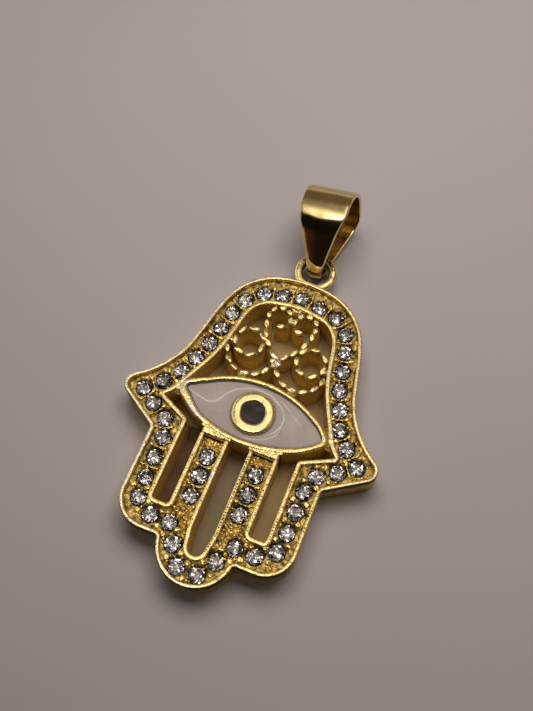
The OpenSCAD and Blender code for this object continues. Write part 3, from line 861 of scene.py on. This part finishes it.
def brilliant(c, spin, tip):
    rt, rm, R = 0.33, 0.48, STONE_R
    zt, zm, zg, zl = 0.175, 0.105, 0.02, -0.31
    v = []
    for k in range(8):
        a = math.pi / 4 * k
        v.append((rt * math.cos(a), rt * math.sin(a), zt))
    for k in range(8):
        a = math.pi / 4 * (k + 0.5)
        v.append((rm * math.cos(a), rm * math.sin(a), zm))
    for z in (zg, -0.01):
        for k in range(16):
            a = math.pi / 8 * k
            v.append((R * math.cos(a), R * math.sin(a), z))
    for k in range(16):
        a = math.pi / 8 * (k + 0.5) + rnd.uniform(-0.07, 0.07)
        q = 0.40 + rnd.uniform(-0.025, 0.025)
        v.append((q * math.cos(a), q * math.sin(a), -0.20 + rnd.uniform(-0.03, 0.03)))
    for k in range(8):
        a = math.pi / 4 * (k + 0.5) + rnd.uniform(-0.15, 0.15)
        q = 0.20 + rnd.uniform(-0.03, 0.03)
        v.append((q * math.cos(a), q * math.sin(a), -0.37 + rnd.uniform(-0.03, 0.03)))
    v.append((rnd.uniform(-0.03, 0.03), rnd.uniform(-0.03, 0.03), -0.51))
    v = np.array(v) @ np.array((Matrix.Rotation(tip[0], 3, "X") @ Matrix.Rotation(tip[1], 3, "Y") @ Matrix.Rotation(spin, 3, "Z"))).T
    T, M_, G, H, L, N, C = 0, 8, 16, 32, 48, 64, 72
    crown, foot = [tuple(T + k for k in range(8))], []
    for k in range(8):
        n = (k + 1) % 8
        crown.append((T + n, T + k, M_ + k))
        crown.append((T + n, M_ + k, G + 2 * n % 16, M_ + n))
        crown.append((M_ + k, G + 2 * k, G + 2 * k + 1))
        crown.append((M_ + k, G + 2 * k + 1, G + (2 * k + 2) % 16))
        foot.append((N + k, L + (2 * k + 1), L + 2 * k))
        foot.append((N + k, L + (2 * k + 2) % 16, L + (2 * k + 1)))
        foot.append((N + k, N + n, L + (2 * k + 2) % 16))
        foot.append((N + k, C, N + n))
    for k in range(16):
        n = (k + 1) % 16
        foot.append((L + k, H + n, H + k))
        foot.append((L + k, L + n, H + n))
        crown.append((G + k, H + k, H + n, G + n))
    w = v + [c[0], c[1], GIRDLE_Z]
    gem.add(w, crown, mat=0)
    gem.f += [tuple(gem.n - len(v) + i for i in f) for f in foot]
    # each facet takes the painted dark, mid or bright tone at random
    gem.mat += rnd.choices((1, 2, 3), (0.34, 0.29, 0.37), k=len(foot))


for p in stones:
    brilliant(p, rnd.uniform(0, 1), (rnd.uniform(-0.07, 0.07), rnd.uniform(-0.07, 0.07)))
gem.make("stones", [CROWN, *FACETS], "pendant", flat=True)

# ---------------------------------------------------------------- enamel
en = Shape()
nx, ny = 200, 76
opening = almond(-0.04)
xs = np.linspace(-1, 1, nx)
xs = np.sign(xs) * (1 - (1 - np.abs(xs)) ** 1.25) * (np.where(xs < 0, -opening[:, 0].min(), opening[:, 0].max()) - 0.002)


def lids(x):
    """Lower and upper edge of the opening at x."""
    first, last = int(np.argmin(opening[:, 0])), int(np.argmax(opening[:, 0]))
    o = np.roll(opening, -first, 0)
    last = (last - first) % len(o)
    hi = np.array(sorted(map(tuple, o[:last + 1])))
    lo = np.array(sorted(map(tuple, np.concatenate([o[last:], o[:1]]))))
    return np.interp(x, lo[:, 0], lo[:, 1]), np.interp(x, hi[:, 0], hi[:, 1])


ylo, yhi = lids(xs)
vv = np.linspace(0, 1, ny)
grid_x = np.repeat(xs[None], ny, 0)
grid_y = ylo[None] + (yhi - ylo)[None] * vv[:, None]
flat_p = np.c_[grid_x.ravel(), grid_y.ravel()]
edge = np.minimum(vv, 1 - vv)[:, None] * (yhi - ylo)[None]
r_c = np.hypot(grid_x, grid_y)
dome = 0.06 * (1 - (grid_x / 5.7) ** 2) * (1 - ((vv[:, None] - 0.5) * 2) ** 2)
menisc = 0.04 * np.exp(-(edge / 0.09)) + 0.05 * np.exp(-np.maximum(r_c - 1.74, 0) / 0.1)
en_z = 2.425 + dome + menisc
# painted reflections: pale streaks drawn on the enamel
PAINTED_REFLECTIONS = [  # brightness, width, points
    (0.9, 0.045, [(-5.46, 0.12), (-4.91, -0.06), (-4.28, -0.19), (-3.81, -0.29), (-3.45, -0.25), (-3.17, -0.13)]),
    (0.6, 0.10, [(-3.95, -0.28), (-3.45, -0.26), (-3.17, -0.13), (-2.94, 0.10), (-2.78, 0.39), (-2.55, 0.84)]),
    (0.75, 0.05, [(-2.94, 0.10), (-2.78, 0.39), (-2.55, 0.84), (-2.16, 1.27), (-1.72, 1.56), (-1.24, 1.77), (-0.74, 1.94), (-0.38, 1.99), (0.19, 1.96),
                  (0.70, 1.87), (1.25, 1.64), (1.76, 1.30)]),
    (0.95, 0.04, [(0.70, 1.87), (1.25, 1.64), (1.76, 1.30), (2.03, 1.06), (2.29, 0.68), (2.40, 0.24), (2.37, -0.16), (2.16, -0.67), (1.85, -1.03), (1.49, -1.29)]),
    (0.5, 0.04, [(0.70, 1.87), (1.10, 1.78), (1.46, 1.57), (1.81, 1.27)]),
    (0.6, 0.05, [(1.50, 1.72), (1.81, 1.64), (2.09, 1.52), (2.40, 1.31), (2.70, 1.13), (2.79, 1.02)]),
    (0.45, 0.09, [(2.79, 1.02), (3.14, 0.82), (3.51, 0.58), (3.76, 0.39)]),
    (0.6, 0.045, [(-0.33, -1.99), (0.05, -2.01), (0.48, -1.95), (0.98, -1.83), (1.38, -1.67), (1.81, -1.40), (2.22, -1.03), (2.38, -0.63), (2.42, -0.28)]),
    (0.16, 0.35, [(-3.7, 0.0), (-3.3, 0.15), (-2.9, 0.6)]),
    (0.20, 0.40, [(2.7, 0.6), (3.1, 0.3), (3.3, -0.2)]),
]
# the streaks together make the painted reflections
sw = np.zeros(len(flat_p))
for bright, wid, pts in PAINTED_REFLECTIONS:
    f = np.array(pts, float)
    for _ in range(3):  # rounds the path
        f = np.concatenate([f[:1], np.concatenate([[0.75 * a + 0.25 * b, 0.25 * a + 0.75 * b] for a, b in zip(f[:-1], f[1:])]), f[-1:]])
    d = near(f, flat_p + waver(flat_p, 2.0, 0.03, 5.0)[:, None])
    ends = np.minimum(np.linalg.norm(flat_p - f[0], axis=1), np.linalg.norm(flat_p - f[-1], axis=1))
    sw = np.maximum(sw, bright * np.exp(-(d / wid) ** 2) * (0.35 + 0.65 * smooth(0, 0.7, ends)))
top_gap = ((1 - vv)[:, None] * (yhi - ylo)[None]).ravel()
under_lid = np.exp(-(top_gap / (0.075 + 0.025 * smooth(1, -3, flat_p[:, 0]))) ** 4) * (0.45 + 0.55 * smooth(3.5, -0.5, flat_p[:, 0]))
low_gap = (vv[:, None] * (yhi - ylo)[None]).ravel()
shade = np.clip(0.13 * np.exp(-low_gap / 0.22) + 1.1 * under_lid + 0.45 * np.exp(-(edge / 0.05)).ravel() + 0.5 * np.exp(-np.maximum(r_c - 1.74, 0) / 0.05).ravel(), 0, 1)
faces = [(j * nx + i, j * nx + i + 1, (j + 1) * nx + i + 1, (j + 1) * nx + i) for j in range(ny - 1) for i in range(nx - 1)]
en.add(np.c_[flat_p, en_z.ravel()], faces, shade, np.clip(sw, 0, 1))
enamel = en.make("eye_enamel", [PEARL], "pendant", angle=60)
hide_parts("eye_inlay")

pu = Shape()
rows = []
for r in (0.97, 0.93, 0.86, 0.74, 0.58, 0.4, 0.2, 0.02):
    z = 2.715 - 0.05 * (r / 0.95) ** 2 + (0.02 if r > 0.92 else 0)
    q = circ * r
    rows.append(np.c_[q, z + waver(q, 1.8, 0.03, 80.0)])
pu.sweep(rows, flip=True)
pu.add(rows[-1], [tuple(range(len(circ)))[::-1]])
pupil = pu.make("pupil_enamel", [BLACK], "pendant", angle=60)
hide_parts("pupil")

# ---------------------------------------------------------------- bail
BAIL = dict(small=1.2, large=2.8, length=3.75, t=0.4, rise=29.4, lean=6.0, roll=10.0, slack=0.56)
TAPER = [(-1.4, 1.15), (-0.9, 1.15), (0.6, 1.85), (2.2, 2.75), (4.4, 4.07), (7.0, 4.07)]


def lie(p):
    p = np.asarray(p, float)
    m = (Matrix.Translation((0, LOOP_Y, LOOP_Z)) @ Matrix.Rotation(math.radians(BAIL["lean"]), 4, "Z")
         @ Matrix.Translation((0, LOOP_R - BAIL["slack"], 0)) @ Matrix.Rotation(math.radians(BAIL["rise"]), 4, "X")
         @ Matrix.Rotation(math.radians(-BAIL["roll"]), 4, "Y"))
    m = np.array(m)
    return p @ m[:3, :3].T + m[:3, 3]


def teardrop(shrink):
    """Points (along, out) round the strip's fold and their count per stretch, the same for any shrink."""
    s, l, d = BAIL["small"] - shrink, BAIL["large"] - shrink, BAIL["length"]
    a = math.asin((BAIL["large"] - BAIL["small"]) / d)
    small = [(s * math.cos(g), s * math.sin(g)) for g in np.linspace(math.pi / 2 + a, 1.5 * math.pi - a, 22)]
    large = [(d + l * math.cos(g), l * math.sin(g)) for g in np.linspace(-math.pi / 2 - a, math.pi / 2 + a, 64)]
    low = [tuple(np.array(small[-1]) + (np.array(large[0]) - np.array(small[-1])) * k / 22) for k in range(1, 22)]
    high = [tuple(np.array(large[-1]) + (np.array(small[0]) - np.array(large[-1])) * k / 22) for k in range(1, 22)]
    return np.array(small + low + large + high)


bl = Shape()
sec = []   # cross-section of the strip: share of the width, inset from the edge, depth in the sheet
for edge_in, depth in [(0.11, 0.0), (0.05, 0.008), (0.018, 0.03), (0.0, 0.075), (0.0, 0.2), (0.0, 0.33), (0.018, 0.37), (0.05, 0.392), (0.1, 0.4)]:
    sec.append((1, edge_in, depth))
outer_rows, inner_rows = [], []
wt = np.array(TAPER)


def strip_row(side_share, edge_in, depth):
    q = teardrop(depth)
    half = np.interp(q[:, 0], wt[:, 0], wt[:, 1]) / 2
    u = side_share * (half - edge_in)
    t = teardrop(0.0)
    out_dir = teardrop(-1.0) - t
    crown = (0.015 + 0.065 * smooth(4.6, 2.2, t[:, 0])) * np.abs(u / half) ** 2 * (1 if depth < 0.2 else 0)
    dent = np.array([noise.noise(Vector((a * 0.55, b[0] * 0.55, b[1] * 0.55))) for a, b in zip(u, t)]) * 0.02
    sink = np.maximum(crown + 0.015 + dent, 0) if depth < 0.2 else np.zeros(len(q))
    return lie(np.c_[u, q - out_dir * sink[:, None]])


def fold_reflection_shade(side_share, depth):
    """Painted reflection and shade on the outside: a dimmer reflection over the fold, a dull spot in its bright
    highlight, painted shade under the tail with dark reflection bands round it; the inner edge rows darker towards the
    narrow end.
    """
    t = teardrop(0.0)
    half = np.interp(t[:, 0], wt[:, 0], wt[:, 1]) / 2
    g = np.degrees(np.arctan2(t[:, 1], t[:, 0] - BAIL["length"]))
    on_fold = smooth(8, 26, g) * smooth(98, 86, g) * (t[:, 0] > BAIL["length"] - 1.3)
    spot = np.exp(-(((side_share * half + 0.1) / 0.6) ** 2)) * np.exp(-(((g - 86.5) / 5.5) ** 2)) * (t[:, 1] > 0)
    round_tail = np.degrees(np.arctan2(t[:, 1], -t[:, 0])) * (t[:, 0] < 0.3)
    tail = (t[:, 0] < 0.3) * (0.85 * smooth(40, -10, round_tail) + 0.5 * np.exp(-((round_tail - 62) / 7) ** 2) + 0.4 * np.exp(-((round_tail - 38) / 5) ** 2))
    return np.clip(0.30 * on_fold + 0.4 * spot + tail, 0, 1) if depth < 0.2 else 0.12 + 0.6 * smooth(0.9, 0.2, t[:, 0])


def inside_shade_streaks(side_share):
    """Darker streaks across the inside, with painted shade deep in the fold and at the narrow end, and a darker band
    part way along.
    """
    t = teardrop(0.0)
    streak = np.array([noise.noise(Vector((side_share * 0.6, b[0] * 3.1, 7.0))) for b in t]) * 0.5
    g = 0.10 + 0.50 * smooth(3.6, 4.2, t[:, 0]) + 0.45 * np.exp(-((t[:, 0] - 2.4) / 0.4) ** 2) + 0.4 * smooth(1.0, 0.4, t[:, 0])
    return np.clip(g + streak, 0, 1)


FACE = [k / 7 for k in range(-6, 7)]
order = [(-1, *s[1:]) for s in reversed(sec)]                    # left edge, from inside to outside
order += [(s, 0.11, 0.0) for s in FACE]
order += sec                                                     # right edge, from outside to inside
order += [(s, 0.1, 0.4) for s in reversed(FACE)]
rows = [strip_row(*o) for o in order]
rows.append(rows[0])
rows = np.array(rows)
k_in = len(sec) * 2 + len(FACE)
fold_reflection_rows = np.concatenate([fold_reflection_shade(o[0], o[2]) for o in order[:k_in]])
bl.sweep(rows[:k_in], closed=True, flip=False, dirt=fold_reflection_rows, mat=0)
bl.sweep(rows[k_in - 1:], closed=True, flip=False, dirt=np.concatenate([inside_shade_streaks(k / 7) for k in range(7, -8, -1)]), mat=1)
bail = bl.make("bail_strip", [POLISH, INNER], "bail", angle=50)
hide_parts("bail")

# ---------------------------------------------------------------- floor, light, camera
def stage_mat():
    m, nt, b = new_mat("paper")
    p = coords(nt)
    col = ramp(nt, tex_noise(nt, p, 0.03, 2.0), [(0.3, (0.540, 0.461, 0.443)), (0.7, (0.560, 0.479, 0.460))])
    link(nt, col, b.inputs["Base Color"])
    b.inputs["Roughness"].default_value = 0.75
    b.inputs["Specular IOR Level"].default_value = 0.2
    link(nt, bump(nt, tex_noise(nt, p, 1.5, 3.0), 1.0, 0.01), b.inputs["Normal"])
    far = nt.nodes.new("ShaderNodeVectorMath")      # away from the lamp the paper glows, a painted light in place of the room's light
    far.operation = "LENGTH"
    link(nt, p, far.inputs[0])
    rise = nt.nodes.new("ShaderNodeMapRange")
    rise.interpolation_type = "SMOOTHSTEP"
    rise.inputs["From Min"].default_value, rise.inputs["From Max"].default_value = 45.0, 260.0
    rise.inputs["To Min"].default_value, rise.inputs["To Max"].default_value = 0.0, 0.85
    link(nt, far.outputs["Value"], rise.inputs["Value"])
    b.inputs["Emission Color"].default_value = (0.43, 0.365, 0.35, 1)
    link(nt, rise.outputs["Result"], b.inputs["Emission Strength"])
    return m


me = bpy.data.meshes.new("surface")
s = 3.0
me.from_pydata([(-s, -s, 0), (s, -s, 0), (s, s, 0), (-s, s, 0)], [], [(0, 1, 2, 3)])
me.materials.append(stage_mat())
surface = bpy.data.objects.new("surface", me)
bpy.context.scene.collection.objects.link(surface)

# inside the openings the paper is painted with the gold light that the walls throw on it; in the left slot it is
# painted dark, as shade
def lit_paper(name, a, b):
    m, nt, bs = new_mat(name)
    link(nt, ramp(nt, tex_noise(nt, coords(nt), 0.7, 3.0), [(0.35, a), (0.65, b)]), bs.inputs["Base Color"])
    bs.inputs["Roughness"].default_value = 0.8
    bs.inputs["Specular IOR Level"].default_value = 0.2
    return m


left_slot = [(-x, y) for x, y in ((3.1, -2.0), (4.6, -2.0), (4.6, -8.77), (3.1, -8.77))]
patches = [(win_hole, 0.004, 0), (slot_hole, 0.004, 1), (left_slot, 0.008, 2)]
me = bpy.data.meshes.new("paper_in_openings")
verts, faces = [], []
for poly, z, _ in patches:
    faces.append(tuple(len(verts) + i for i in range(len(poly))))
    verts += [(x * MM, (y + EYE_Y) * MM, z * MM) for x, y in poly]
me.from_pydata(verts, [], faces)
for m in (lit_paper("paper_palm", (0.43, 0.30, 0.13), (0.48, 0.34, 0.16)), lit_paper("paper_slot", (0.30, 0.225, 0.13), (0.33, 0.25, 0.15)),
          lit_paper("paper_left_slot", (0.13, 0.072, 0.034), (0.19, 0.105, 0.05))):
    me.materials.append(m)
me.polygons.foreach_set("material_index", [k for _, _, k in patches])
opening_paper = bpy.data.objects.new("paper_in_openings", me)
bpy.context.scene.collection.objects.link(opening_paper)

sc = bpy.context.scene
sc.view_settings.view_transform = "Standard"
sc.view_settings.look = "None"
world = bpy.data.worlds.new("studio")
sc.world = world
world.use_nodes = True
nt = world.node_tree
nt.nodes.clear()
out = nt.nodes.new("ShaderNodeOutputWorld")
tc = nt.nodes.new("ShaderNodeTexCoord")
sep = nt.nodes.new("ShaderNodeSeparateXYZ")
link(nt, tc.outputs["Generated"], sep.inputs[0])
X, Y, Z = sep.outputs


LAMP = 4.6


def step_up(v, a, b):
    n = nt.nodes.new("ShaderNodeMapRange")
    n.interpolation_type = "SMOOTHSTEP"
    n.inputs["From Min"].default_value, n.inputs["From Max"].default_value = a, b
    n.inputs["To Min"].default_value, n.inputs["To Max"].default_value = 0, 1
    link(nt, v, n.inputs["Value"])
    return n.outputs["Result"]


# what metal sees, by its angle round the X axis from the +Y horizon over the zenith: a pale wall and a grey
# ceiling with a bright panel behind the pendant, a strong lamp on the near side of the zenith, a dark room before it
ang_yz = nt.nodes.new("ShaderNodeMath")
ang_yz.operation = "ARCTAN2"
link(nt, Z, ang_yz.inputs[0])
link(nt, Y, ang_yz.inputs[1])
turn = math_node(nt, "DIVIDE", ang_yz.outputs[0], math.pi)


def window(v, a, b, c, d):
    """Rises from a to b and falls from c to d."""
    return math_node(nt, "MULTIPLY", step_up(v, a, b), math_node(nt, "SUBTRACT", 1.0, step_up(v, c, d)))


room_c = ramp(nt, turn, [(0.0, (0.62, 0.55, 0.44)), (0.035, (0.55, 0.48, 0.37)), (0.10, (0.165, 0.120, 0.083)), (0.30, (0.155, 0.115, 0.080)),
                         (0.40, (0.30, 0.27, 0.22)), (0.55, (0.40, 0.37, 0.31)), (0.645, (0.32, 0.28, 0.22)), (0.657, (0.010, 0.008, 0.007)),
                         (0.80, (0.006, 0.005, 0.004)), (0.90, (0.006, 0.0045, 0.004)), (1.0, (0.014, 0.010, 0.008))])
panel = math_node(nt, "MULTIPLY", window(turn, 0.30, 0.36, 0.56, 0.60), window(X, -0.35, -0.27, 0.16, 0.30))
room_c = mix(nt, panel, room_c, (1.45, 1.28, 1.02))
glow = math_node(nt, "MULTIPLY", window(turn, 0.43, 0.55, 0.64, 0.656), window(X, -0.50, -0.42, -0.36, -0.30))
room_c = mix(nt, glow, room_c, (1.9, 1.65, 1.25))
lamp = math_node(nt, "MULTIPLY", window(turn, 0.52, 0.60, 0.635, 0.654), window(X, -0.415, -0.39, 0.22, 0.34))
room_c = mix(nt, lamp, room_c, (LAMP, LAMP * 0.93, LAMP * 0.76))
low = math_node(nt, "MULTIPLY", step_up(turn, 0.93, 0.96), step_up(math_node(nt, "MULTIPLY", X, -1.0), 0.29, 0.37))
room_c = mix(nt, low, room_c, (0.036, 0.012, 0.008))
low = math_node(nt, "MULTIPLY", step_up(turn, 0.935, 0.955), window(X, -0.22, -0.15, 0.1, 0.2))
room_c = mix(nt, low, room_c, (0.014, 0.005, 0.004))
low = math_node(nt, "MULTIPLY", step_up(turn, 0.95, 0.97), step_up(math_node(nt, "MULTIPLY", X, -1.0), 0.43, 0.47))
room_c = mix(nt, low, room_c, (0.17, 0.115, 0.045))
left = math_node(nt, "MULTIPLY", step_up(math_node(nt, "MULTIPLY", X, -1.0), 0.55, 0.78), step_up(Z, 0.04, 0.22))
left = math_node(nt, "MULTIPLY", left, math_node(nt, "SUBTRACT", 1.0, step_up(turn, 0.78, 0.86)))
room_c = mix(nt, left, room_c, (0.90, 0.88, 0.88))
below = step_up(math_node(nt, "MULTIPLY", Z, -1.0), -0.02, 0.05)
room_c = mix(nt, below, room_c, (0.26, 0.21, 0.16))
lpth = nt.nodes.new("ShaderNodeLightPath")
room_c = mix(nt, lpth.outputs["Is Camera Ray"], room_c, (0.40, 0.35, 0.335))
bg = nt.nodes.new("ShaderNodeBackground")
link(nt, room_c, bg.inputs["Color"])
link(nt, bg.outputs[0], out.inputs["Surface"])
world.cycles_visibility.diffuse = False     # the lamps below light the paper, the room only shows in the metal


def area(name, place, target, sx, sy, power, colour):
    d = bpy.data.lights.new(name, "AREA")
    d.shape, d.size, d.size_y, d.energy, d.color = "RECTANGLE", sx, sy, power, colour
    o = bpy.data.objects.new(name, d)
    o.location = place
    o.rotation_mode = "QUATERNION"
    o.rotation_quaternion = (Vector(target) - Vector(place)).to_track_quat("-Z", "Y")
    sc.collection.objects.link(o)
    return o


key = area("key", (-0.003, 0.043, 0.100), (-0.001, 0.018, 0), 0.095, 0.065, 0.086, (1.0, 0.98, 0.965))
fill = area("fill", (0.0, 0.0, 0.300), (0, 0, 0), 0.35, 0.35, 0.035, (1.0, 0.98, 0.965))
key.visible_glossy = fill.visible_glossy = False

cam_data = bpy.data.cameras.new("view")
cam_data.lens, cam_data.sensor_width = 38.481, 36
cam_data.clip_start, cam_data.clip_end = 0.001, 20
cam = bpy.data.objects.new("view", cam_data)
R = ((0.928074, 0.372045, -0.016167), (-0.336069, 0.855454, 0.394025), (0.160425, -0.360251, 0.918958))
m = Matrix(R).transposed().to_4x4()
m.translation = (0.00880930, -0.02040098, 0.05788518)
cam.matrix_world = m
sc.collection.objects.link(cam)
sc.camera = cam
